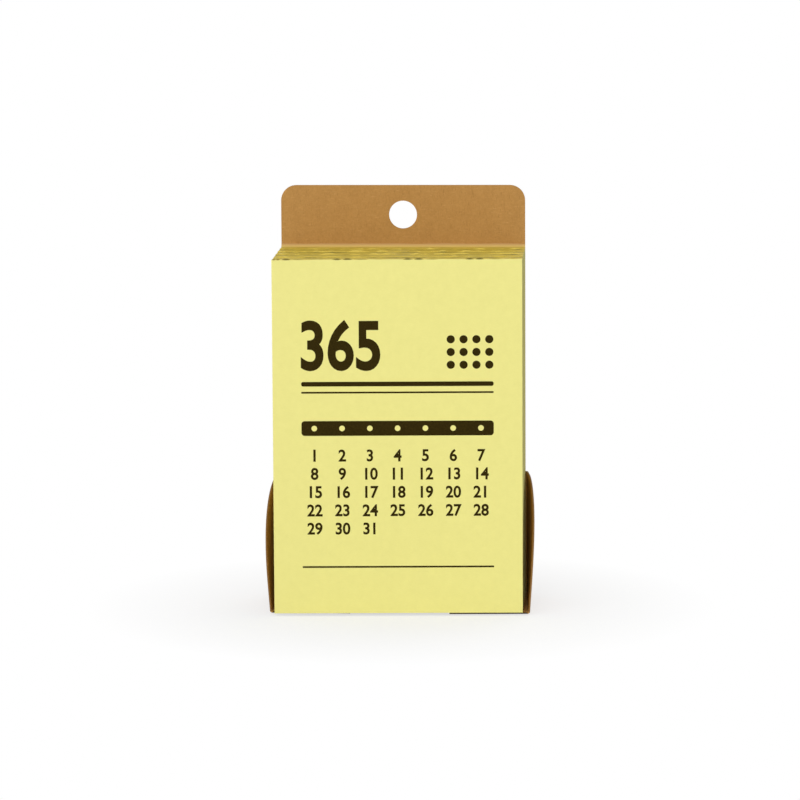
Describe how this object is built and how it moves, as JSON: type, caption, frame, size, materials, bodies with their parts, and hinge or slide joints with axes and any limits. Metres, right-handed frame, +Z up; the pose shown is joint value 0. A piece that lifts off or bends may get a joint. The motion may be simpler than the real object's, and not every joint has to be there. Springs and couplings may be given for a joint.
{
  "type": "block calendar",
  "caption": "Tear-off block calendar: a glued block of yellow leaves with a lifting cover, standing in a folded kraft card holder with a hang tab, for a wall or a desk.",
  "frame": {"origin": "under the middle of the whole part, on the surface that it stands on", "axes": "+Z up, the cover faces -Y, +X to the right of someone who reads the cover"},
  "size_m": [0.0762, 0.037, 0.1188],
  "materials": {
    "kraft_card": "uncoated kraft, matt",
    "leaf_paper": "uncoated leaf, matt",
    "cover_paper": "uncoated leaf, matt",
    "padding_glue": "dried padding glue, satin",
    "tape_film": "matt"
  },
  "bodies": {
    "holder": {"kraft_holder": "kraft_card", "page_block": "leaf_paper", "binding_glue": "padding_glue", "mounting_tape": "tape_film"},
    "cover": {"cover_sheet": "cover_paper"}
  },
  "joints": [
    {"name": "cover_lift", "type": "hinge", "parent": "holder", "child": "cover", "pos_m": [0, -0.01702, 0.1008], "axis": [-0.9991, -0.0428, 0], "range_deg": [0, 170]}
  ]
}
